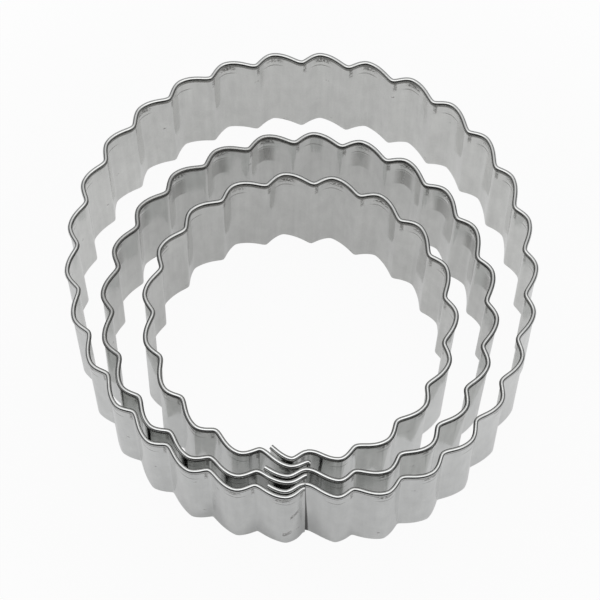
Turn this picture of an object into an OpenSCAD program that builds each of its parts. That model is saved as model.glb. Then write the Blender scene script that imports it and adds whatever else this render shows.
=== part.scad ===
// Nested set of three fluted pastry cutters. Each cutter is one strip of thin tinplate: fluted,
// bent round, lapped on itself at the front and spot welded in the lap. Its top edge is rolled
// into a round rim for the hand, and its bottom edge is the plain cutting edge.
// Millimetres, +Z up. The origin is the middle of the large cutter's footprint, on the table,
// and the laps face -Y.

/* [Sheet and rim] */
// Height of every cutter, from the cutting edge to the top of the rim
height = 25.5; // [16:0.5:40]
// Thickness of the tinplate
sheet = 0.3; // [0.2:0.05:0.5]
// Diameter of the rolled rim
rim_d = 0.9; // [0.8:0.05:1.6]

/* [Flutes] */
// Depth of a flute from lobe to valley
flute_depth = 1.6; // [0.8:0.1:2.2]
// Where the valley lies between two lobes, as a share of the pitch
valley_at = 0.4; // [0.35:0.01:0.65]
// How much wider the lobes are than the valleys, in degrees of the wave
lobe_width = 16; // [0:1:30]
// How straight the flanks are: a low value is a smooth wave, a high one a zigzag
flank_straightness = 0.8; // [0.2:0.05:0.95]

/* [Lap] */
// Length over which the strip runs back out to its circle beside the lap
lap_runout = 9; // [6:0.5:14]
// Diameter of a spot weld
weld_d = 2.2; // [1.5:0.1:3]
// Height of the lower spot weld above the cutting edge
lower_weld_z = 5; // [3:0.5:6]
// Height of the upper spot weld above the cutting edge
upper_weld_z = 14.5; // [10:0.5:20]

/* [Large cutter] */
// Diameter across the lobes at the cutting edge
large_d = 80; // [78:0.5:100]
// Number of flutes
large_flutes = 30; // [26:1:36]
// How far the ring is squeezed oval
large_oval = 1.1; // [0:0.1:1.2]
// How far the ring is bent three-sided
large_trilobe = 0.5; // [0:0.1:0.8]
// How far the lap flattens the ring; below zero it bulges
large_flat = 1.6; // [-1:0.1:2]
// Clear gap between the two rims in its lap
large_lap_gap = 0.12; // [0.08:0.01:0.6]
// How far its inner end reaches past the middle of the lap
large_lap_start = 3.3; // [2.5:0.1:5]
// How far its outer end reaches past the middle of the lap
large_lap_end = 3.3; // [2.5:0.1:4]
// Clear gap between the two rims at the outer end; below zero that rim is pressed flat
large_end_gap = -0.2; // [-0.2:0.05:1.6]
// How far the ring steps out beside the lap, inward on the left and outward on the right
large_lap_kink = -0.25; // [-0.8:0.05:0.8]
// How much shallower the flutes are at the lap, as a share
large_lap_squash = 0.1; // [0:0.05:0.5]
// How far the cutting edge stands to the right of the rim
large_lean_side = 0; // [-0.8:0.1:0.8]
// How far the cutting edge stands behind the rim
large_lean_back = 0.2; // [-0.8:0.1:0.8]

/* [Medium cutter] */
// Diameter across the lobes at the cutting edge
medium_d = 64.5; // [62:0.5:66]
// Number of flutes
medium_flutes = 24; // [20:1:28]
// How far the ring is squeezed oval
medium_oval = 0.5; // [0:0.1:1]
// How far the ring is bent three-sided
medium_trilobe = 0.1; // [0:0.1:0.8]
// How far the lap flattens the ring; below zero it bulges
medium_flat = 1; // [-1:0.1:2]
// Clear gap between the two rims in its lap
medium_lap_gap = 0.2; // [0.08:0.01:0.6]
// How far its inner end reaches past the middle of the lap
medium_lap_start = 4.2; // [2.5:0.1:5]
// How far its outer end reaches past the middle of the lap
medium_lap_end = 3.3; // [2.5:0.1:4]
// Clear gap between the two rims at the outer end; below zero that rim is pressed flat
medium_end_gap = 0.1; // [-0.2:0.05:1.6]
// How far the ring steps out beside the lap, inward on the left and outward on the right
medium_lap_kink = 0; // [-0.8:0.05:0.8]
// How much shallower the flutes are at the lap, as a share
medium_lap_squash = 0.2; // [0:0.05:0.5]
// How far the cutting edge stands to the right of the rim
medium_lean_side = -0.4; // [-0.8:0.1:0.8]
// How far the cutting edge stands behind the rim
medium_lean_back = 0.1; // [-0.8:0.1:0.8]
// Clear gap at the front between this cutter and the large one's lap
medium_gap = 0.65; // [0.5:0.05:2]

/* [Small cutter] */
// Diameter across the lobes at the cutting edge
small_d = 52; // [44:0.2:53]
// Number of flutes
small_flutes = 19; // [15:1:22]
// How far the ring is squeezed oval
small_oval = 0.2; // [0:0.1:0.8]
// How far the ring is bent three-sided
small_trilobe = 0.2; // [0:0.1:0.8]
// How far the lap flattens the ring; below zero it bulges
small_flat = 0; // [-1:0.1:2]
// Clear gap between the two rims in its lap
small_lap_gap = 0.4; // [0.08:0.01:0.6]
// How far its inner end reaches past the middle of the lap
small_lap_start = 4; // [2.5:0.1:5]
// How far its outer end reaches past the middle of the lap
small_lap_end = 3.7; // [2.5:0.1:4]
// Clear gap between the two rims at the outer end; below zero that rim is pressed flat
small_end_gap = 1.2; // [-0.2:0.05:1.6]
// How far the ring steps out beside the lap, inward on the left and outward on the right
small_lap_kink = 0.4; // [-0.8:0.05:0.8]
// How much shallower the flutes are at the lap, as a share
small_lap_squash = 0; // [0:0.05:0.5]
// How far the cutting edge stands to the right of the rim
small_lean_side = -0.4; // [-0.8:0.1:0.8]
// How far the cutting edge stands behind the rim
small_lean_back = -0.1; // [-0.8:0.1:0.8]
// Clear gap at the front between this cutter and the medium one's lap
small_gap = 0.8; // [0.5:0.05:2]

/* [Hidden] */

TINPLATE = [0.72, 0.73, 0.73];
WELD = [0.5, 0.5, 0.51];

// Direction of the laps, seen from above, and how far each cutter is turned from it
LAP_DIR = -90;
LARGE_TURN = 0.3;
MEDIUM_TURN = 0.4;
SMALL_TURN = 0.9;
// Half widths of the stretches that the lap flattens and kinks, in degrees round the ring
FLAT_SPREAD = 21;
KINK_SPREAD = 14;
// Half width of the stretch where the lap squashes the flutes, in flutes
SQUASH_SPREAD = 0.8;
// Least clear gap between the two rims at a pressed end
LEAST_GAP = 0.1;
// Directions in which the rings bulge, in degrees
LARGE_OVAL_DIR = -68;
LARGE_TRILOBE_DIR = 41;
MEDIUM_OVAL_DIR = 4;
MEDIUM_TRILOBE_DIR = 56;
SMALL_OVAL_DIR = -43;
SMALL_TRILOBE_DIR = 26;
// Sideways places of the two inner cutters beside the large one
MEDIUM_SIDE = 0.1;
SMALL_SIDE = 0;

// Stations along each flank of a flute, steps round the rim, and steps that measure a ring
FLANK_STEPS = 4;
RIM_STEPS = 8;
RING_STEPS = 120;
// A step along the strip, in flutes, that is short enough to give its direction
NEAR = 0.02;

// What each cutter is: size and flutes, turn, bends, lap gap, lean, lap ends, kink and squash
LARGE = [
    large_d, large_flutes, LARGE_TURN, [large_oval, LARGE_OVAL_DIR],
    [large_trilobe, LARGE_TRILOBE_DIR], large_flat, large_lap_gap,
    [large_lean_side, large_lean_back],
    [large_lap_start, large_lap_end, large_end_gap], large_lap_kink, large_lap_squash
];
MEDIUM = [
    medium_d, medium_flutes, MEDIUM_TURN, [medium_oval, MEDIUM_OVAL_DIR],
    [medium_trilobe, MEDIUM_TRILOBE_DIR], medium_flat, medium_lap_gap,
    [medium_lean_side, medium_lean_back],
    [medium_lap_start, medium_lap_end, medium_end_gap], medium_lap_kink, medium_lap_squash
];
SMALL = [
    small_d, small_flutes, SMALL_TURN, [small_oval, SMALL_OVAL_DIR],
    [small_trilobe, SMALL_TRILOBE_DIR], small_flat, small_lap_gap,
    [small_lean_side, small_lean_back],
    [small_lap_start, small_lap_end, small_end_gap], small_lap_kink, small_lap_squash
];
function across(cutter) = cutter[0];
function flutes(cutter) = cutter[1];
function lap_dir(cutter) = LAP_DIR + cutter[2];
function oval(cutter) = cutter[3];
function trilobe(cutter) = cutter[4];
function flat(cutter) = cutter[5];
function lap_gap(cutter) = cutter[6];
function lean(cutter) = cutter[7];
function end_gap(cutter) = cutter[8][2];
function kink(cutter) = cutter[9];
function squash(cutter) = cutter[10];

// From one sheet to the other where the strip laps itself
function lap_step(cutter) = rim_d + lap_gap(cutter);

// Radius of a cutter's ring on the middle of the sheet, halfway up the flutes
function ring_r(cutter) = (across(cutter) - flute_depth - sheet) / 2;

// Angle measured from the lap, from -180 to 180
function from_lap(cutter, angle) = (angle - lap_dir(cutter) + 540) % 360 - 180;

// A bend that is 1 on one side of the lap and -1 on the other
function sideways_bend(share) = share * exp(0.5 - share * share) * sqrt(2);

// The same radius with the ring's bends, in one direction
function bent_r(cutter, angle) =
    ring_r(cutter)
    + kink(cutter) * sideways_bend(from_lap(cutter, angle) / KINK_SPREAD)
    + oval(cutter)[0] * cos(2 * (angle - oval(cutter)[1]))
    + trilobe(cutter)[0] * cos(3 * (angle - trilobe(cutter)[1]))
    - flat(cutter) * exp(-pow(from_lap(cutter, angle) / FLAT_SPREAD, 2));

// Length of strip from the lap to each direction round the ring, as [length, angle] pairs
function strip_lengths(cutter) =
    let (turn = 360 / RING_STEPS, from = lap_dir(cutter))
    [for (i = 0, run = 0; i <= RING_STEPS;
        run = run + bent_r(cutter, from + (i + 0.5) * turn) * turn * PI / 180, i = i + 1)
        [run, from + i * turn]];

// Direction at which the strip has run a number of flutes from the lap
function flute_angle(cutter, lengths, at) =
    let (
        rounds = floor(at / flutes(cutter)),
        share = at / flutes(cutter) - rounds,
        whole = lengths[RING_STEPS][0]
    )
    lookup(share * whole, lengths) + 360 * rounds;

// The flutes' wave, 1 on a lobe and -1 in a valley
function flute_wave(at) =
    let (
        share = at - floor(at),
        phase = share < valley_at
            ? 180 * share / valley_at
            : 180 + 180 * (share - valley_at) / (1 - valley_at),
        drawn = phase - lobe_width * sin(phase)
    )
    asin(flank_straightness * cos(drawn)) / asin(flank_straightness);

// Depth of the flutes at a place, in flutes from the lap
function depth_at(cutter, at) =
    let (away = min(abs(at), abs(at - flutes(cutter))) / SQUASH_SPREAD)
    flute_depth * (1 - squash(cutter) * exp(-away * away));

// A point of the fluted ring, on the middle of the sheet
function ring_point(cutter, lengths, at) =
    let (
        angle = flute_angle(cutter, lengths, at),
        reach = bent_r(cutter, angle) + depth_at(cutter, at) / 2 * flute_wave(at)
    )
    reach * [cos(angle), sin(angle)];

// Unit vector to the right of the way from one point to another
function right_of(from, to) =
    let (way = to - from)
    [way.y, -way.x] / norm(way);

// Pitch of a cutter's flutes along its strip
function pitch(cutter) = 2 * PI * ring_r(cutter) / flutes(cutter);

// How far the lap's inner and outer ends reach past its middle, in flutes
function lap_start(cutter) = cutter[8][0] / pitch(cutter);
function lap_end(cutter) = cutter[8][1] / pitch(cutter);

// How far the strip's inner end lies inside the ring: a full step in the lap, then running out
function tuck(cutter, at) =
    let (
        run = (at - lap_end(cutter)) * pitch(cutter) / lap_runout,
        share = min(1, max(0, run))
    )
    lap_step(cutter) * (1 - share * share * (3 - 2 * share));

// How far the strip's outer end swings out from the inner one; below zero it is pressed in
function swing(cutter, at) =
    let (share = max(0, (at - flutes(cutter)) / lap_end(cutter)))
    (end_gap(cutter) - lap_gap(cutter)) * pow(share, 3);

// Half the width of the rim, which is flattened where the outer end is pressed in
function rim_half(cutter, at) =
    let (room = rim_r + lap_gap(cutter) + swing(cutter, at) - LEAST_GAP)
    max(sheet / 2, min(rim_r, room));

// A point of the strip, which starts under its own far end
function strip_point(cutter, lengths, at) =
    let (
        here = ring_point(cutter, lengths, at),
        out = right_of(
            ring_point(cutter, lengths, at - NEAR),
            ring_point(cutter, lengths, at + NEAR)
        )
    )
    here + out * (swing(cutter, at) - tuck(cutter, at));

// Places along one flute where the strip has a station
FLUTE_STATIONS = concat(
    [for (i = [0:FLANK_STEPS - 1]) valley_at * i / FLANK_STEPS],
    [for (i = [0:FLANK_STEPS - 1]) valley_at + (1 - valley_at) * i / FLANK_STEPS]
);

// Stations along a whole strip, in flutes from the lap
function stations(cutter) =
    let (
        start = -lap_start(cutter),
        end = flutes(cutter) + lap_end(cutter)
    )
    concat(
        [start],
        [for (flute = [-1:flutes(cutter)]) for (part = FLUTE_STATIONS)
            let (at = flute + part)
            if (at > start + NEAR && at < end - NEAR) at],
        [end]
    );

// The strip's line on the middle of the sheet, and the outward direction at each of its points
function strip_line(cutter, places) =
    let (lengths = strip_lengths(cutter))
    [for (at = places) strip_point(cutter, lengths, at)];
function outward(line) =
    let (last = len(line) - 1)
    [for (i = [0:last]) right_of(line[max(0, i - 1)], line[min(last, i + 1)])];

// Cross-section of the strip: the sheet with the round rim on its top edge
rim_r = rim_d / 2;
rim_neck = asin(sheet / 2 / rim_r);
SECTION = concat(
    [[-sheet / 2, 0], [sheet / 2, 0]],
    [for (i = [0:RIM_STEPS])
        let (angle = -90 + rim_neck + i * (360 - 2 * rim_neck) / RIM_STEPS)
        [rim_r * cos(angle), height - rim_r + rim_r * sin(angle)]]
);

// Middle of a cutter's whole width or length, part 0 for x and 1 for y
function middle(cutter, line, part) =
    let (edge = lean(cutter)[part])
    (max([for (p = line) max(p[part] + rim_r, p[part] + edge + sheet / 2)])
    + min([for (p = line) min(p[part] - rim_r, p[part] + edge - sheet / 2)])) / 2;

// Where each cutter stands. The two inner ones follow the lap of the one around them.
function lap_r(cutter) = bent_r(cutter, lap_dir(cutter));
function lap_lobe_r(cutter) = lap_r(cutter) + depth_at(cutter, 0) / 2;
function nest_back(inner, outer, gap) =
    lap_lobe_r(inner) - lap_lobe_r(outer) + lap_step(outer) + rim_d + gap;
large_line = strip_line(LARGE, stations(LARGE));
large_at = -[middle(LARGE, large_line, 0), middle(LARGE, large_line, 1)];
medium_at = large_at + [MEDIUM_SIDE, nest_back(MEDIUM, LARGE, medium_gap)];
small_at = medium_at + [SMALL_SIDE, nest_back(SMALL, MEDIUM, small_gap)];

// One strip, swept along its line
module strip(cutter) {
    places = stations(cutter);
    line = strip_line(cutter, places);
    out = outward(line);
    last = len(line) - 1;
    sides = len(SECTION);
    points = [for (i = [0:last]) for (corner = SECTION)
        let (
            half = rim_half(cutter, places[i]),
            side = max(-half, min(half, corner.x)),
            place = line[i] + out[i] * side + lean(cutter) * (1 - corner.y / height)
        )
        [place.x, place.y, corner.y]];
    skin = [for (i = [0:last - 1]) for (j = [0:sides - 1])
        let (next = (j + 1) % sides)
        [i * sides + j, i * sides + next, (i + 1) * sides + next, (i + 1) * sides + j]];
    first_end = [for (j = [sides - 1:-1:0]) j];
    last_end = [for (j = [0:sides - 1]) last * sides + j];
    color(TINPLATE) polyhedron(points, concat(skin, [first_end, last_end]), convexity = 10);
}

// The space between the two sheets of a lap, which leans as the strip does
module lap_space(cutter) {
    places = stations(cutter);
    line = strip_line(cutter, places);
    out = outward(line);
    last = len(line) - 1;
    inner = [for (i = [0:last])
        if (places[i] < lap_end(cutter) + NEAR) line[i] + out[i] * sheet / 2];
    outer = [for (i = [last:-1:0])
        if (places[i] > flutes(cutter) - lap_start(cutter) - NEAR) line[i] - out[i] * sheet / 2];
    ring = concat(inner, outer);
    count = len(ring);
    floor_points = [for (p = ring) let (place = p + lean(cutter)) [place.x, place.y, 0]];
    top_points = [for (p = ring) [p.x, p.y, height]];
    sides = [for (i = [0:count - 1])
        let (next = (i + 1) % count)
        [i, count + i, count + next, next]];
    polyhedron(
        concat(floor_points, top_points),
        concat(sides, [[for (i = [0:count - 1]) i], [for (i = [count - 1:-1:0]) count + i]]),
        convexity = 4
    );
}

// One spot weld on the lap's lobe, filling the space between the two sheets
module weld(cutter, z) {
    shift = lean(cutter) * (1 - z / height);
    color(WELD) intersection() {
        lap_space(cutter);
        translate([shift.x, shift.y, z]) rotate(lap_dir(cutter)) translate([lap_r(cutter), 0, 0])
            rotate([0, 90, 0])
                cylinder(d = weld_d, h = 4 * lap_step(cutter) + flute_depth, center = true, $fn = 32);
    }
}

module large_strip() {
    translate(large_at) strip(LARGE);
}
module large_upper_weld() {
    translate(large_at) weld(LARGE, upper_weld_z);
}
module large_lower_weld() {
    translate(large_at) weld(LARGE, lower_weld_z);
}
module medium_strip() {
    translate(medium_at) strip(MEDIUM);
}
module medium_upper_weld() {
    translate(medium_at) weld(MEDIUM, upper_weld_z);
}
module medium_lower_weld() {
    translate(medium_at) weld(MEDIUM, lower_weld_z);
}
module small_strip() {
    translate(small_at) strip(SMALL);
}
module small_upper_weld() {
    translate(small_at) weld(SMALL, upper_weld_z);
}
module small_lower_weld() {
    translate(small_at) weld(SMALL, lower_weld_z);
}

large_strip();
large_upper_weld();
large_lower_weld();
medium_strip();
medium_upper_weld();
medium_lower_weld();
small_strip();
small_upper_weld();
small_lower_weld();
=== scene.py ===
# %% [markdown]
# # A nested set of three fluted pastry cutters
# Three loose rings of tinplate stand one inside the other. Each is one strip of thin sheet that was
# fluted, bent round, lapped on itself at the front and spot welded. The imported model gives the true
# size and the parts that move. This lesson makes the finer shapes and the metal around it.

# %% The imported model
import math

import bpy
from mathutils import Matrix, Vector


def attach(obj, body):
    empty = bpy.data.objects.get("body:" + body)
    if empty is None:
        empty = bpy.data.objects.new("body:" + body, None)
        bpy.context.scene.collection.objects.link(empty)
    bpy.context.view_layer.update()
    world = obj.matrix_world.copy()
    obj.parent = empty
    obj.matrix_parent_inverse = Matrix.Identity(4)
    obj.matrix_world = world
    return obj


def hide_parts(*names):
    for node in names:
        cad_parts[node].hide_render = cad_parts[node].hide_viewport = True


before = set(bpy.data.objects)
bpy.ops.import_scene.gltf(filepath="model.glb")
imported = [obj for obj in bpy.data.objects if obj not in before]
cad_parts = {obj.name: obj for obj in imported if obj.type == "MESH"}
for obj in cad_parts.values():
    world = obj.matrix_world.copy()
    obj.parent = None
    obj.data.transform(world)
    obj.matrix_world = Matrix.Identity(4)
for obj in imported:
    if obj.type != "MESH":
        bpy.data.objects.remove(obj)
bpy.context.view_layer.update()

MM = 0.001  # Blender works in metres, and the sizes below are in millimetres
print("nodes:", sorted(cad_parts))

# %% [markdown]
# ## The sizes of a cutter
# All three rings are made of the same stock, so they share the sheet, the rolled rim and the flutes.
# They differ in how far round they go and in how each got bent a little out of true. Such facts could
# be typed where they are used. Kept in one place, they can be read and changed as a set. A bend is a
# size in millimetres and, where it has one, a direction in degrees.

# %% Sizes in millimetres and degrees
HEIGHT = 25.5
SHEET = 0.3
RIM_D = 0.9
FLUTE_DEPTH = 1.6
VALLEY_AT = 0.4  # the share of a flute at which its valley lies
LOBE_WIDTH = 16  # how far a lobe is broader than a valley, in degrees of the wave
LAP_RUNOUT = 9  # the inner layer is back on the ring after this length
LAP_DIR = -90  # the laps are at the front
FLAT_SPREAD = 21  # the ring is flattened to about this far from its lap, in degrees
KINK_SPREAD = 14  # and kinked over about this angle
SQUASH_SPREAD = 0.8  # the flutes beside the seam are squashed over this many of them
LEAST_GAP = 0.1  # a pressed end keeps its rolled edge this far from the other layer

CUTTERS = {
    "large": {
        "across": 80, "flutes": 30, "turn": 0.3, "place": (0.373427, -0.415685), "lean": (0, 0.2),
        "oval": (1.1, -68), "trilobe": (0.5, 41), "flat": 1.6, "kink": -0.25, "squash": 0.1,
        "lap_start": 3.3, "lap_end": 3.3, "lap_gap": 0.12, "end_gap": -0.2, "pressed": 0.36,
        "dulled": 1.0,
    },
    "medium": {
        "across": 64.5, "flutes": 24, "turn": 0.4, "place": (0.473427, -6.7717), "lean": (-0.4, 0.1),
        "oval": (0.5, 4), "trilobe": (0.1, 56), "flat": 1, "kink": 0, "squash": 0.2,
        "lap_start": 4.2, "lap_end": 3.3, "lap_gap": 0.2, "end_gap": 0.1, "pressed": 0.3,
        "dulled": 0.9,
    },
    "small": {
        "across": 52, "flutes": 19, "turn": 0.9, "place": (0.473427, -8.4027), "lean": (-0.4, -0.1),
        "oval": (0.2, -43), "trilobe": (0.2, 26), "flat": 0, "kink": 0.4, "squash": 0,
        "lap_start": 4, "lap_end": 3.7, "lap_gap": 0.4, "end_gap": 1.2, "pressed": 0,
        "dulled": 0.87,
    },
}


def ring_radius(cutter):
    return (cutter["across"] - FLUTE_DEPTH - SHEET) / 2


def flute_pitch(cutter):
    return 2 * math.pi * ring_radius(cutter) / cutter["flutes"]


for name, cutter in CUTTERS.items():
    print(f"{name}: {cutter['flutes']} flutes, {flute_pitch(cutter):.2f} mm apart, "
          f"on a ring of radius {ring_radius(cutter):.2f} mm")

# %% [markdown]
# ## Two guide curves
# A strip that follows a path needs the path and a cross-section. The path here is the ring without its
# flutes, a closed curve that starts at the lap. The section is the sheet with its top edge rolled over.
# Both could be drawn by hand, but a rule gives them exactly, so Python works out their points and the
# Geometry Nodes do the rest.

# %% The ring that a strip follows
def lap_direction(cutter):
    return LAP_DIR + cutter["turn"]


def bent_radius(cutter, angle):
    """How far the ring is from its middle in one direction, with its slight bends."""
    from_lap = (angle - lap_direction(cutter) + 540) % 360 - 180
    beside = from_lap / KINK_SPREAD
    oval, oval_dir = cutter["oval"]
    trilobe, trilobe_dir = cutter["trilobe"]
    return (
        ring_radius(cutter)
        + cutter["kink"] * beside * math.exp(0.5 - beside ** 2) * math.sqrt(2)
        + oval * math.cos(math.radians(2 * (angle - oval_dir)))
        + trilobe * math.cos(math.radians(3 * (angle - trilobe_dir)))
        - cutter["flat"] * math.exp(-((from_lap / FLAT_SPREAD) ** 2))
    )


def guide_curve(name, points):
    data = bpy.data.curves.new(name, "CURVE")
    data.dimensions = "3D"
    spline = data.splines.new("POLY")
    spline.points.add(len(points) - 1)
    for point, place in zip(spline.points, points):
        point.co = (*place, 1)
    spline.use_cyclic_u = True
    guide = bpy.data.objects.new(name, data)
    bpy.context.scene.collection.objects.link(guide)
    return guide


RING_POINTS = 720
ring_guides = {}
for name, cutter in CUTTERS.items():
    points = []
    for i in range(RING_POINTS):
        angle = lap_direction(cutter) + 360 * i / RING_POINTS
        radius = bent_radius(cutter, angle) * MM
        points.append((radius * math.cos(math.radians(angle)), radius * math.sin(math.radians(angle)), 0))
    ring_guides[name] = guide_curve(f"{name}_ring_guide", points)
    print(f"{name} ring guide: {len(points)} points")

# %% [markdown]
# ## The rolled edge
# The top of the sheet is rolled into a bead, so that it doesn't cut the hand. A circle on top of the
# wall would do from afar. At the lap the strip's cut ends show, and there a rolled edge is a small open
# tube, so the section goes round the outside of the roll, over the lip and back along its hollow.

# %% The section of the sheet, x outward and y up
WALL_LEVELS = [0, 0.6, 2, 4, 6.5, 9.5, 12.5, 15.5, 18, 20, 21.6, 22.8, 23.7]
LIP_ANGLE = -30
HOLLOW_END = 300  # degrees, and LIP_ANGLE too, counted from outward
ROLL_STEPS = 24
HOLLOW_STEPS = 9
INSIDE_SOLID = 0.945  # the solid's rim has flat facets, and this one stays inside them
JOIN_DROP = 0.75  # the hollow meets the wall this share of the roll's radius below its middle


def arc(radius, start, end, steps):
    middle = HEIGHT - RIM_D / 2
    turn = [math.radians(start + (end - start) * i / steps) for i in range(steps + 1)]
    return [(radius * math.cos(a), middle + radius * math.sin(a)) for a in turn]


rim_r = RIM_D / 2 * INSIDE_SOLID
hollow_r = rim_r - SHEET
neck = math.degrees(math.asin(SHEET / 2 / rim_r))
inner_face = [(-SHEET / 2, level) for level in WALL_LEVELS]
outer_face = [(SHEET / 2, level) for level in reversed(WALL_LEVELS)]
roll = arc(rim_r, 270 - neck, LIP_ANGLE, ROLL_STEPS)
hollow = arc(hollow_r, LIP_ANGLE, HOLLOW_END, HOLLOW_STEPS)
join_point = (SHEET / 2, HEIGHT - RIM_D / 2 - rim_r * JOIN_DROP)
section_mm = inner_face + roll + hollow + [join_point] + outer_face
section_guide = guide_curve("section_guide", [(x * MM, y * MM, 0) for x, y in section_mm])
print("section:", len(section_mm), "points")

# %% [markdown]
# ## Expressions instead of wires
# A node tree is a long sum that is drawn with wires. Written out as wires in Python it is hard to read,
# so one small class stands for a socket and lets ordinary signs add the Math nodes. One method adds any
# other node. The same class serves the shapes here and the metal later.

# %% A socket that can be calculated with
class Wire:
    def __init__(self, tree, socket):
        self.tree = tree
        self.socket = socket

    def node(self, kind, settings=None, inputs=None, output=0):
        new = self.tree.nodes.new(kind)
        for setting, value in (settings or {}).items():
            setattr(new, setting, value)
        for place, value in (inputs or {}).items():
            socket = new.inputs[place]
            if isinstance(value, Wire):
                self.tree.links.new(value.socket, socket)
            else:
                socket.default_value = value
        return Wire(self.tree, new.outputs[output] if len(new.outputs) else None)

    def other(self, output):
        return Wire(self.tree, self.socket.node.outputs[output])

    def maths(self, operation, *values):
        return self.node("ShaderNodeMath", {"operation": operation}, dict(enumerate(values)))

    def vector(self, operation, *values, output=0):
        return self.node("ShaderNodeVectorMath", {"operation": operation}, dict(enumerate(values)), output)

    def __add__(self, other):
        return self.maths("ADD", self, other)

    def __radd__(self, other):
        return self.maths("ADD", other, self)

    def __sub__(self, other):
        return self.maths("SUBTRACT", self, other)

    def __rsub__(self, other):
        return self.maths("SUBTRACT", other, self)

    def __mul__(self, other):
        return self.maths("MULTIPLY", self, other)

    def __rmul__(self, other):
        return self.maths("MULTIPLY", other, self)

    def __truediv__(self, other):
        return self.maths("DIVIDE", self, other)

    def __rtruediv__(self, other):
        return self.maths("DIVIDE", other, self)

    def scaled(self, factor):
        """This vector, longer or shorter."""
        return self.node("ShaderNodeVectorMath", {"operation": "SCALE"}, {0: self, "Scale": factor})

    def step(self, start, end, low=0.0, high=1.0):
        """Eases from low to high while this value goes from start to end."""
        return self.node("ShaderNodeMapRange", {"interpolation_type": "SMOOTHSTEP"},
                         {"Value": self, "From Min": start, "From Max": end, "To Min": low, "To Max": high})

    def blend(self, first, second):
        """The first colour where this value is 0, the second where it is 1."""
        return self.node("ShaderNodeMix", {"data_type": "RGBA"}, {"Factor": self, "A": first, "B": second}, 2)


# %% [markdown]
# ## The rule of the flutes
# From above, a flute is a wave: a broad lobe outward and a tighter valley inward, with nearly straight
# flanks between them. It could be sculpted lobe by lobe. As a rule it is four sums, and each flute is
# the same, as it is when one pair of rollers forms them all. The sheet is stiffer at the rolled rim, so
# the wave is rounder there and has flatter flanks at the cutting edge.

# %% Named inputs of the node tree
strip_tree = bpy.data.node_groups.new("Fluted strip", "GeometryNodeTree")
INPUTS = [
    ("Ring", "NodeSocketObject", None),
    ("Section", "NodeSocketObject", None),
    ("Stations", "NodeSocketInt", 900),
    ("Flutes", "NodeSocketFloat", 30.0),
    ("Flute Depth", "NodeSocketFloat", FLUTE_DEPTH * MM),
    ("Valley At", "NodeSocketFloat", VALLEY_AT),
    ("Lobe Width", "NodeSocketFloat", math.radians(LOBE_WIDTH)),
    ("Straightness At Rim", "NodeSocketFloat", 0.74),
    ("Straightness At Edge", "NodeSocketFloat", 0.97),
    ("Squash", "NodeSocketFloat", 0.0),
    ("Lap Start", "NodeSocketFloat", 0.4),
    ("Lap End", "NodeSocketFloat", 0.4),
    ("Lap Gap", "NodeSocketFloat", 0.2 * MM),
    ("End Gap", "NodeSocketFloat", 0.2 * MM),
    ("Pressed", "NodeSocketFloat", 0.0),
    ("Runout", "NodeSocketFloat", 1.1),
    ("Height", "NodeSocketFloat", HEIGHT * MM),
    ("Place", "NodeSocketVector", (0.0, 0.0, 0.0)),
    ("Lean", "NodeSocketVector", (0.0, 0.0, 0.0)),
    ("Dulled", "NodeSocketFloat", 1.0),
    ("Metal", "NodeSocketMaterial", None),
]
strip_tree.interface.new_socket("Geometry", in_out="INPUT", socket_type="NodeSocketGeometry")
strip_tree.interface.new_socket("Geometry", in_out="OUTPUT", socket_type="NodeSocketGeometry")
identifiers = {}
for label, kind, default in INPUTS:
    socket = strip_tree.interface.new_socket(label, in_out="INPUT", socket_type=kind)
    identifiers[label] = socket.identifier
    if default is not None:
        socket.default_value = default
given = Wire(strip_tree, None).node("NodeGroupInput")
size = {label: given.other(label) for label in identifiers}
print("inputs:", ", ".join(identifiers))

# %% [markdown]
# ## The strip laid out straight
# The sheet starts flat, and so does the mesh: the section is swept along a straight line, with its cut
# ends closed. Each point is given what it needs to know later, such as how many flutes it lies past the
# seam and how high it stands. The bent strip could be asked for these, but there they are hard to find.

# %% A straight strip whose points know their place
def store(geometry, label, value):
    """Writes a value on every point, under a name that later steps can read."""
    return geometry.node("GeometryNodeStoreNamedAttribute", {"data_type": "FLOAT", "domain": "POINT"},
                         {"Geometry": geometry, "Name": label, "Value": value})


start = 0 - size["Lap Start"]
length = size["Flutes"] + size["Lap Start"] + size["Lap End"]
ring = size["Ring"].node("GeometryNodeObjectInfo", inputs={"Object": size["Ring"]}, output="Geometry")
section = ring.node("GeometryNodeObjectInfo", inputs={"Object": size["Section"]}, output="Geometry")
line = ring.node("GeometryNodeCurvePrimitiveLine")
line = line.node("GeometryNodeResampleCurve", inputs={"Curve": line, "Count": size["Stations"]})
share_along = line.node("GeometryNodeSplineParameter")
flutes_along = start + share_along * length
line = store(line, "flute", flutes_along)
line = store(line, "past_lap", flutes_along - size["Flutes"])
line = store(line, "dulled", size["Dulled"])
corner = section.node("ShaderNodeSeparateXYZ", inputs={0: section.node("GeometryNodeInputPosition")})
section = store(section, "outward", corner)
section = store(section, "level", corner.other("Y"))
straight = line.node("GeometryNodeCurveToMesh",
                     inputs={"Curve": line, "Profile Curve": section, "Fill Caps": True})


def stored(label):
    return straight.node("GeometryNodeInputNamedAttribute", {"data_type": "FLOAT"}, {"Name": label},
                         "Attribute")


flute, level, outward_part = stored("flute"), stored("level"), stored("outward")
print("straight strip:", len(strip_tree.nodes), "nodes")

# %% The wave, and a point of the fluted ring
edge_straightness, rim_straightness = size["Straightness At Edge"], size["Straightness At Rim"]
up_share = (level / size["Height"]).step(0.35, 0.95)
straightness = edge_straightness + (rim_straightness - edge_straightness) * up_share


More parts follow.
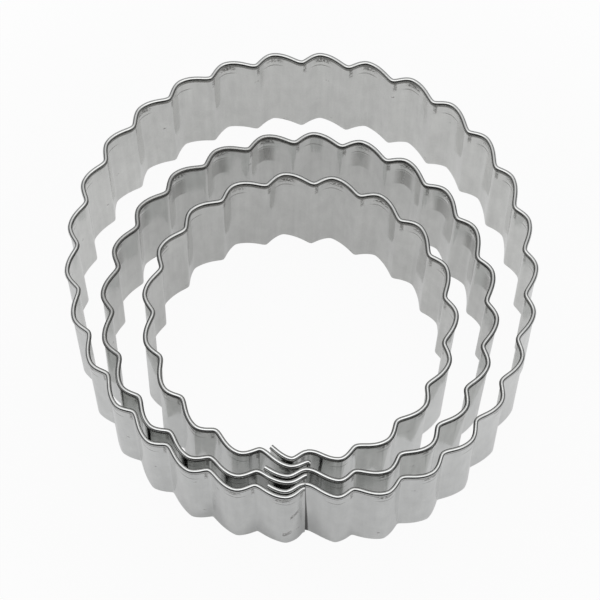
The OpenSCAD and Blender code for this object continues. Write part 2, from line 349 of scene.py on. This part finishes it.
def wave(at):
    """From 1 on a lobe to -1 in a valley, at a place that is counted in flutes."""
    share = at.maths("FRACT", at)
    rising = math.pi * share / size["Valley At"]
    falling = math.pi + math.pi * (share - size["Valley At"]) / (1 - size["Valley At"])
    before_valley = share.maths("LESS_THAN", share, size["Valley At"])
    phase = rising * before_valley + falling * (1 - before_valley)
    drawn = phase - size["Lobe Width"] * phase.maths("SINE", phase)
    highest = drawn.maths("ARCSINE", straightness)
    return drawn.maths("ARCSINE", straightness * drawn.maths("COSINE", drawn)) / highest


def depth(at):
    """The depth of the flutes, which is less where the lap was squeezed."""
    from_start, from_end = at.maths("ABSOLUTE", at), at.maths("ABSOLUTE", at - size["Flutes"])
    away = at.maths("MINIMUM", from_start, from_end) / SQUASH_SPREAD
    return size["Flute Depth"] * (1 - size["Squash"] * at.maths("EXPONENT", 0 - away * away))


def ring_point(at):
    turn = at / size["Flutes"]
    sample = ring.node("GeometryNodeSampleCurve", {"mode": "FACTOR", "use_all_curves": True},
                       {"Curves": ring, "Factor": turn.maths("FRACT", turn)}, "Position")
    reach = sample.vector("LENGTH", sample, output="Value")
    return sample.scaled(1 + depth(at) / 2 * wave(at) / reach)


# %% [markdown]
# ## The lap
# The strip starts as the inner layer of its own lap and ends as the outer one. Both ends could be moved
# by hand. Here one sum pushes the strip inward at its start by a full step, and lets it run back out to
# the ring over the next flute, so the two layers nest wherever the lap is. A second sum swings the outer
# end out or presses it in, and where it is pressed in, its rolled edge is flattened, as on the real set.
# At the foot no rim holds the layers apart, so there the outer end is pressed on until they nearly touch.

# %% Which way is outward, and how far each layer is moved
NEAR_BY = 0.02
SWING_POWER = 3.0  # the outer end moves mostly near its tip
here = ring_point(flute)
way = here.vector("SUBTRACT", ring_point(flute + NEAR_BY), ring_point(flute - NEAR_BY))
way_x = way.node("ShaderNodeSeparateXYZ", inputs={0: way})
across = way.node("ShaderNodeCombineXYZ", inputs={"X": way_x.other("Y"), "Y": 0 - way_x})
out = way.vector("NORMALIZE", across)
lap_step = size["Lap Gap"] + RIM_D * MM
tuck = lap_step * flute.step(size["Lap End"], size["Lap End"] + size["Runout"], 1.0, 0.0)
past_lap = flute.maths("MAXIMUM", 0.0, (flute - size["Flutes"]) / size["Lap End"])
foot_share = 1 - level / size["Height"]
at_foot = size["Pressed"] * foot_share
swing = (size["End Gap"] - size["Lap Gap"] - at_foot) * flute.maths("POWER", past_lap, SWING_POWER)
space = flute.maths("MAXIMUM", SHEET / 2 * MM, swing + size["Lap Gap"] + (rim_r - LEAST_GAP) * MM)
flattened = flute.maths("MAXIMUM", 0 - space, flute.maths("MINIMUM", space, outward_part))
print("lap:", len(strip_tree.nodes), "nodes")

# %% Every point of the strip in its place
SMOOTH_BELOW = math.radians(40)  # sharper edges stay crisp
shift = out.scaled(flattened + swing - tuck)
raised = level.node("ShaderNodeCombineXYZ", inputs={"Z": level})
leaning = size["Lean"].scaled(foot_share)
place = here.vector("ADD", here.vector("ADD", here, shift), here.vector("ADD", raised, size["Place"]))
place = here.vector("ADD", place, leaning)
bent = straight.node("GeometryNodeSetPosition", inputs={"Geometry": straight, "Position": place})
crease = bent.node("GeometryNodeInputMeshEdgeAngle")
flat_edge = crease.node("FunctionNodeCompare", {"data_type": "FLOAT", "operation": "LESS_THAN"},
                        {"A": crease, "B": SMOOTH_BELOW})
bent = bent.node("GeometryNodeSetShadeSmooth", {"domain": "EDGE"},
                 {"Geometry": bent, "Shade Smooth": flat_edge})
bent = bent.node("GeometryNodeRealizeInstances", inputs={"Geometry": bent})
bent = bent.node("GeometryNodeSetMaterial", inputs={"Geometry": bent, "Material": size["Metal"]})
bent.node("NodeGroupOutput", inputs={0: bent})
print("node tree:", len(strip_tree.nodes), "nodes")

# %% [markdown]
# ## Tinplate
# The sheet is steel with a bright skin of tin. It isn't a mirror: rolling leaves a fine grain, and the
# fluting tools leave faint bands. A plain grey metal would look like plastic film, and a noise in space
# would run straight through the folds of the sheet. So the finish is placed by the strip's own
# attributes, which are how far along it a point lies, in flutes, and how far up.

# %% A new material and the strip's own coordinates
def new_metal(name):
    material = bpy.data.materials.new(name)
    material.use_nodes = True
    shader = material.node_tree.nodes["Principled BSDF"]
    shader.inputs["Metallic"].default_value = 1.0
    return material, shader, Wire(material.node_tree, None)


def join(shader, **links):
    for label, value in links.items():
        value.tree.links.new(value.socket, shader.inputs[label.replace("_", " ")])


def carried(bench, label):
    """What the points of the strip carry under this name."""
    return bench.node("ShaderNodeAttribute", {"attribute_name": label}, output="Fac")


tinplate, tin_shader, bench = new_metal("tinplate")
PITCH = 8.2  # millimetres from one flute to the next, near enough for all three rings
FACES_APART = 3  # makes the pattern of one face differ from the other's
along = carried(bench, "flute")
height = carried(bench, "level") / MM
side = carried(bench, "outward") / MM
past_lap_mm = carried(bench, "past_lap") * PITCH
dulled = carried(bench, "dulled")
sheet_point = bench.node("ShaderNodeCombineXYZ",
                         inputs={"X": along * PITCH, "Y": height, "Z": side * FACES_APART})
print("tinplate reads: flute, level, outward, past_lap, dulled")

# %% Grain, bands and a ragged edge for the marks
GRAIN = (1, 0.4, 1)  # the grain is drawn out up the wall
BAND = (1, 0.06, 1)  # a band runs nearly from foot to rim


def noise(at, scale, detail=2.0, stretch=(1, 1, 1)):
    pulled = at.vector("MULTIPLY", at, stretch)
    return at.node("ShaderNodeTexNoise", {"noise_dimensions": "3D"},
                   {"Vector": pulled, "Scale": scale, "Detail": detail, "Roughness": 0.55})


mottle = noise(sheet_point, 0.55, 3, GRAIN)
fine = noise(sheet_point, 5.0, 2, GRAIN)
bands = noise(sheet_point, 1.1, 2, BAND)
ragged = noise(sheet_point, 2.6, 3)
print("grain and bands:", len(tinplate.node_tree.nodes), "nodes")

# %% [markdown]
# ## Marks of the fluting tool
# Where the crimping rollers bite below the bead, the tin is rubbed thin: a smudge and a short stroke at
# each flute. A fine crease crosses each lobe as a bump, and its line is darkened with painted shade.
# They could be painted on one by one. A rule places one of each at its share of the flute, and chance
# decides how strong each smudge is, so no two flutes look the same. A few rubbed specks are scattered
# over the whole sheet.

# %% A rubbed mark at each flute, and painted shade along a crease
share = along.maths("FRACT", along)
flute_number = along.maths("FLOOR", along + 0.25)
luck = along.node("ShaderNodeTexWhiteNoise", {"noise_dimensions": "1D"}, {"W": flute_number}, "Value")


def mark(middle, half_width, low, high, soft):
    """A mark at a share of the flute, between two heights, for rubbed tin and for painted shade and
    reflections.
    """
    away = along.maths("PINGPONG", share - middle, 0.5)
    across_flute = 1 - away.step(half_width * 0.4, half_width * 1.3)
    return across_flute * height.step(low - soft, low + soft) * (1 - height.step(high - soft, high + soft))


smudge = mark(middle=0.96, half_width=0.17, low=22.9, high=24.0, soft=0.4)
smudge = smudge * ragged.step(0.4, 0.56) * luck.step(0.1, 0.7)
stroke = mark(middle=0.34, half_width=0.035, low=21.5, high=24.4, soft=0.8) * ragged.step(0.35, 0.55)
# the crease is a bump, and its line is darkened with painted shade
crease_and_shade = mark(middle=0.0, half_width=0.2, low=21.5, high=21.8, soft=0.12)
dots = along.node("ShaderNodeTexVoronoi", {"feature": "F1", "voronoi_dimensions": "3D"},
                  {"Vector": sheet_point, "Scale": 0.22, "Randomness": 1.0}, "Distance")
specks = (1 - dots.step(0.035, 0.1)) * ragged.step(0.45, 0.6)
print("with the tool's marks:", len(tinplate.node_tree.nodes), "nodes")

# %% [markdown]
# ## Painted shade, painted reflections and wear
# Painted shade darkens the corner below the bead and the large ring's seam, where shadow falls. The
# medium ring is worn on its bead at the back left, and dark patches on its inner face are painted
# reflections of the dark gaps beside it. Each ring could have a metal of its own. They share one
# tinplate instead, and how dulled a ring is tells them apart.

# %% Which face and which ring
inner_side = 1 - side.step(-0.05, 0.05)
on_bead = height.step(HEIGHT - RIM_D - 0.1, HEIGHT - RIM_D + 0.15)
on_large = dulled.step(0.94, 0.99)
on_medium = dulled.step(0.88, 0.895) * (1 - on_large)
print("dulled:", {name: cutter["dulled"] for name, cutter in CUTTERS.items()})

# %% Painted shade below the bead, worn bead, painted dark reflections
BEAD_SHADE_TOP = 25.26
BEAD_SHADE_FADE = 0.18
bead_shade_top = BEAD_SHADE_TOP - on_large * 0.06
below_top = 1 - height.step(bead_shade_top - BEAD_SHADE_FADE, bead_shade_top)
# painted shade: darkens the corner below the bead and the bead's lower half, where the roll's shadow falls
shade_below_bead = height.step(23.8, 24.25) * below_top * (0.5 + on_bead * 0.4)
bead_wear = along.step(11, 14) * (1 - along.step(18, 21)) * on_medium * on_bead
# painted dark reflections: patches on the medium ring's inner face, where it mirrors the dark gaps beside it
dark_reflection_patch = mark(middle=0.0, half_width=0.2, low=15.8, high=21.2, soft=0.4)
dark_reflection_patch = dark_reflection_patch * ragged.step(0.2, 0.4) * luck.step(0.1, 0.6)
painted_dark_reflections = dark_reflection_patch * inner_side * on_medium
print("with dirt and wear:", len(tinplate.node_tree.nodes), "nodes")

# %% Scuffs of the welding tip, and painted shade in the seam
SEAM_AT = CUTTERS["large"]["lap_end"]  # the outer layer ends over this place on the inner one
SEAM_SHADE_WIDTH = 0.1


def scuff(start, low, slope):
    """A short slanting scratch in the lap's outer layer, where the welding tip pressed."""
    over = past_lap_mm - start
    line_off = over.maths("ABSOLUTE", height - low - over * slope)
    in_reach = over.step(-0.1, 0.2) * (1 - over.step(1.2, 1.6))
    return (1 - line_off.step(0.3, 1.2)) * in_reach * ragged.step(0.35, 0.6)


scuffs = scuff(start=0.85, low=13.5, slope=1.4) + scuff(start=-0.4, low=4.4, slope=0.9)
# painted shade: a dark wedge along the large ring's seam, widest at the foot, where the gap between the
# layers lies in shadow
from_seam = along.maths("ABSOLUTE", along * PITCH - SEAM_AT)
wedge = SEAM_SHADE_WIDTH + height.step(0, 25, 0.22, 0.0)
in_seam = 1 - from_seam.step(wedge * 0.6, wedge)
seam_shade_mask = in_seam * (1 - inner_side) * on_large * (1 - height.step(4, 26) * 0.5)
print("with scuffs and seam:", len(tinplate.node_tree.nodes), "nodes")

# %% [markdown]
# ## Colour and shine
# Bright tin gives back about three quarters of the light, a shade yellower inside than out. The inner
# faces of the medium and small ring give back less than their outer ones. A mark could be a darker metal,
# but a dark metal still mirrors the room. Dirt is no metal, so under a mark the shader turns matt, and
# so it does under the painted shade and the painted dark reflections.

# %% The tinplate put together
BLACK = (0.0, 0.0, 0.0, 1)
OUTER_TIN = (0.987, 1.0, 0.993, 1)
INNER_TIN = (0.995, 1.0, 0.98, 1)
WORN_AND_SHADED_TIN = (0.13, 0.12, 0.1, 1)
SEAM_SHADE_COLOUR = (0.03, 0.027, 0.024, 1)
BRIGHTNESS = 0.735
SMOOTHNESS = 0.11
MOST_DARKENED = 0.9

# rubbed tin, painted shade and painted dark reflections all blend towards one dark, matt colour
wear_and_painted_shade = smudge * 0.8 + stroke * 0.45 + specks * 0.5 + crease_and_shade * 0.4 + shade_below_bead
wear_and_painted_shade = wear_and_painted_shade + scuffs * 0.65 + bead_wear * 0.25 + painted_dark_reflections * 0.3
wear_and_painted_shade = wear_and_painted_shade.maths("MINIMUM", wear_and_painted_shade, MOST_DARKENED)
face = 1 + (dulled - 1) * (inner_side * 2 - 1)
tone = BRIGHTNESS * face + (mottle - 0.5) * 0.2 + (bands - 0.5) * 0.14 + (fine - 0.5) * 0.08
colour = tone.blend(BLACK, inner_side.blend(OUTER_TIN, INNER_TIN))
colour = seam_shade_mask.blend(wear_and_painted_shade.blend(colour, WORN_AND_SHADED_TIN), SEAM_SHADE_COLOUR)
bare = 1 - wear_and_painted_shade.maths("MAXIMUM", wear_and_painted_shade, seam_shade_mask)
roughness = SMOOTHNESS + (mottle - 0.5) * 0.12 + (fine - 0.5) * 0.06 + wear_and_painted_shade * 0.2
relief = fine * 0.004 + bands * 0.03 + mottle * 0.03 - crease_and_shade * 0.02
bump = relief.node("ShaderNodeBump", inputs={"Strength": 0.3, "Distance": MM, "Height": relief},
                   output="Normal")
join(tin_shader, Base_Color=colour, Metallic=bare, Roughness=roughness, Normal=bump)
tin_shader.inputs["Specular IOR Level"].default_value = 0.2
print("tinplate:", len(tinplate.node_tree.nodes), "nodes")

# %% [markdown]
# ## The three strips
# One tree makes all three, each with its own sizes. A live modifier would be lost in the export, so the
# evaluated shape is taken as a plain mesh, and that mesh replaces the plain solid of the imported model.

# %% Each strip as a plain mesh
STATIONS_PER_FLUTE = 32
strips = {}
for name, cutter in CUTTERS.items():
    pitch = flute_pitch(cutter)
    lap_start, lap_end = cutter["lap_start"] / pitch, cutter["lap_end"] / pitch
    seed = bpy.data.objects.new(f"{name}_seed", bpy.data.meshes.new(f"{name}_seed"))
    bpy.context.scene.collection.objects.link(seed)
    sweep = seed.modifiers.new("Fluted strip", "NODES")
    sweep.node_group = strip_tree
    chosen = {
        "Ring": ring_guides[name], "Section": section_guide, "Metal": tinplate,
        "Stations": int((cutter["flutes"] + lap_start + lap_end) * STATIONS_PER_FLUTE),
        "Flutes": float(cutter["flutes"]), "Squash": float(cutter["squash"]),
        "Lap Start": lap_start, "Lap End": lap_end, "Runout": LAP_RUNOUT / pitch,
        "Lap Gap": cutter["lap_gap"] * MM, "End Gap": cutter["end_gap"] * MM,
        "Pressed": cutter["pressed"] * MM, "Dulled": cutter["dulled"],
        "Place": (cutter["place"][0] * MM, cutter["place"][1] * MM, 0.0),
        "Lean": (cutter["lean"][0] * MM, cutter["lean"][1] * MM, 0.0),
    }
    for label, value in chosen.items():
        sweep[identifiers[label]] = value
    bpy.context.view_layer.update()
    evaluated = seed.evaluated_get(bpy.context.evaluated_depsgraph_get())
    mesh = bpy.data.meshes.new_from_object(evaluated)
    mesh.name = f"{name}_fluted_strip"
    strip = bpy.data.objects.new(f"{name}_fluted_strip", mesh)
    bpy.context.scene.collection.objects.link(strip)
    bpy.data.objects.remove(seed)
    strips[name] = strip
    print(f"{strip.name}: {len(mesh.vertices)} points, {len(mesh.polygons)} faces")

for guide in [section_guide, *ring_guides.values()]:
    bpy.data.objects.remove(guide)

# %% Each strip stands for its solid and moves with its cutter
for name, strip in strips.items():
    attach(strip, f"{name}_cutter")
    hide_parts(f"{name}_strip")
    print(f"{strip.name} stands for {name}_strip and rides {name}_cutter")

# %% [markdown]
# ## The spot welds
# Between the two layers of each lap sit two small nuggets of melted steel. Their solids are right as
# they are, so they only get a finish: dull, darker than the tin, and slightly blue-brown from the heat.

# %% Weld metal
COOL_STEEL = (0.2, 0.2, 0.21, 1)
BURNT_STEEL = (0.32, 0.29, 0.25, 1)
WELD_GRAIN = 900.0  # patches to the metre, so about two across a weld
weld_metal, weld_shader, bench = new_metal("weld metal")
where = bench.node("ShaderNodeTexCoord", output="Object")
heat = noise(where, WELD_GRAIN, 3)
tint = heat.step(0.35, 0.65).blend(COOL_STEEL, BURNT_STEEL)
join(weld_shader, Base_Color=tint, Roughness=0.45 + heat * 0.2)
welds = [node for name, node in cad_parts.items() if name.endswith("_weld")]
for weld in welds:
    weld.data.materials.clear()
    weld.data.materials.append(weld_metal)
print("welds:", len(welds))

# %% [markdown]
# ## The floor
# The set stands on white. A metal shows what is around it, so what matters is what the cutters see, and
# that is first of all the floor. A plain white floor would make their walls far too bright. So the floor
# is painted twice, which real light wouldn't allow: the camera sees it nearly white, with a trace of the
# shadow, and the metal mirrors a mid grey that was matched to the photograph. That grey has one tone
# between the walls and another outside the large ring, and is darker at the front.

# %% A white floor that keeps the shadow
FLOOR_RADIUS = 0.3
LARGE_RADIUS = CUTTERS["large"]["across"] / 2 * MM
BETWEEN_WALLS = 0.51
AROUND_FRONT, AROUND_BACK = 0.3, 0.475
FLOOR_WHITE = (0.9, 0.9, 0.9, 1)
WHITE = (1, 1, 1, 1)

bpy.ops.mesh.primitive_circle_add(vertices=128, radius=FLOOR_RADIUS, fill_type="NGON")
floor = bpy.context.object
floor.name = "floor"
floor_paint = bpy.data.materials.new("white floor")
floor_paint.use_nodes = True
floor_paint.node_tree.nodes.clear()
bench = Wire(floor_paint.node_tree, None)
camera_ray = bench.node("ShaderNodeLightPath")
mirror_ray = camera_ray.other("Is Glossy Ray")
on_floor = bench.node("ShaderNodeTexCoord", output="Object")
from_middle = on_floor.vector("LENGTH", on_floor, output="Value")
to_right = bench.node("ShaderNodeSeparateXYZ", inputs={0: on_floor})
to_back = to_right.other("Y")
middle_shade = to_right.step(-30 * MM, -22 * MM) * (1 - to_right.step(0.0, 30 * MM))
between = BETWEEN_WALLS * (1 - middle_shade * 0.16) * to_back.step(-38 * MM, -33 * MM, 0.6, 1.0)
around = to_back.step(-70 * MM, -20 * MM, AROUND_FRONT, AROUND_BACK)
around = around + to_right.step(30 * MM, 45 * MM) * 0.06
outside = from_middle.step(LARGE_RADIUS - 1.5 * MM, LARGE_RADIUS + MM)
mirrored = between + (around - between) * outside
own_light = from_middle.step(50 * MM, 120 * MM, 0.95, 1.0)
seen = camera_ray.maths("MAXIMUM", camera_ray * own_light, mirror_ray * mirrored)
matt = bench.node("ShaderNodeBsdfDiffuse", inputs={"Color": FLOOR_WHITE})
glow = bench.node("ShaderNodeEmission", inputs={"Color": WHITE, "Strength": 1.0})
mixed = bench.node("ShaderNodeMixShader", inputs={0: seen, 1: matt, 2: glow})
bench.node("ShaderNodeOutputMaterial", inputs={"Surface": mixed})
floor.data.materials.append(floor_paint)
print("floor:", len(floor_paint.node_tree.nodes), "nodes")

# %% [markdown]
# ## The room and the lamp
# A light tent all round would make the rims vanish. A bright lamp overhead, a window of light behind and
# above, and dim sides draw the dark line along the rolled rim. Below the horizon the room goes on with
# the floor's tone, because a lifted cutter mirrors what lies past the floor's edge.

# %% The room
DARKEST = 0.03
WINDOW_LIGHT = 0.72
SIDE_LIGHT = 0.1
FLOOR_BEYOND = 0.44
room = bpy.data.worlds.new("room")
bpy.context.scene.world = room
room.use_nodes = True
room.node_tree.nodes.clear()
bench = Wire(room.node_tree, None)
towards = bench.node("ShaderNodeTexCoord", output="Generated")
rightward = bench.node("ShaderNodeSeparateXYZ", inputs={0: towards})
backward, upward = rightward.other("Y"), rightward.other("Z")
sideways = rightward.maths("ABSOLUTE", rightward)
window = (1 - sideways.step(0.25, 0.8)) * backward.step(-0.62, -0.22)
window = window * (1 - backward.step(0.55, 0.95) * 0.6)
sides = sideways.step(0.3, 0.9)
above = (window * WINDOW_LIGHT + sides * SIDE_LIGHT) * upward.step(0.0, 0.2)
below = (1 - upward.step(-0.04, 0.0)) * FLOOR_BEYOND
camera_ray = bench.node("ShaderNodeLightPath")
strength = camera_ray + (1 - camera_ray) * (DARKEST + above + below)
sky = bench.node("ShaderNodeBackground", inputs={"Color": WHITE, "Strength": strength})
bench.node("ShaderNodeOutputWorld", inputs={"Surface": sky})
print("room:", len(room.node_tree.nodes), "nodes")

# %% The lamp overhead
LAMP_SIZE = 0.4
LAMP_AT = (0, 0.06, 0.8)
LAMP_STRENGTH = 0.8
lamp = bpy.data.objects.new("lamp", bpy.data.lights.new("lamp", "AREA"))
lamp.data.size = LAMP_SIZE
lamp.data.energy = LAMP_STRENGTH * math.pi * LAMP_SIZE ** 2
lamp.location = LAMP_AT
bpy.context.scene.collection.objects.link(lamp)
print(f"lamp: {lamp.data.energy:.2f} W")

# %% [markdown]
# ## The camera
# The photograph was taken from about 68 degrees up and a little to the right. A camera could be turned by
# eye until it looks right. This place was worked out instead, from where the lobes and valleys of the
# rims lie in the photograph.

# %% The camera of the photograph
CAMERA_AT = (14.25, -177.25, 458.59)
LOOKS_AT = (-0.456, 4.491, 0)
LENS = 169.26
FILM_WIDTH = 36
camera = bpy.data.objects.new("camera", bpy.data.cameras.new("camera"))
camera.data.lens = LENS
camera.data.sensor_width = FILM_WIDTH
camera.location = Vector(CAMERA_AT) * MM
aim = Vector(LOOKS_AT) * MM
camera.rotation_euler = (aim - camera.location).to_track_quat("-Z", "Y").to_euler()
bpy.context.scene.collection.objects.link(camera)
bpy.context.scene.camera = camera
bpy.context.scene.view_settings.view_transform = "Standard"
print("camera at", [round(v, 4) for v in camera.location])
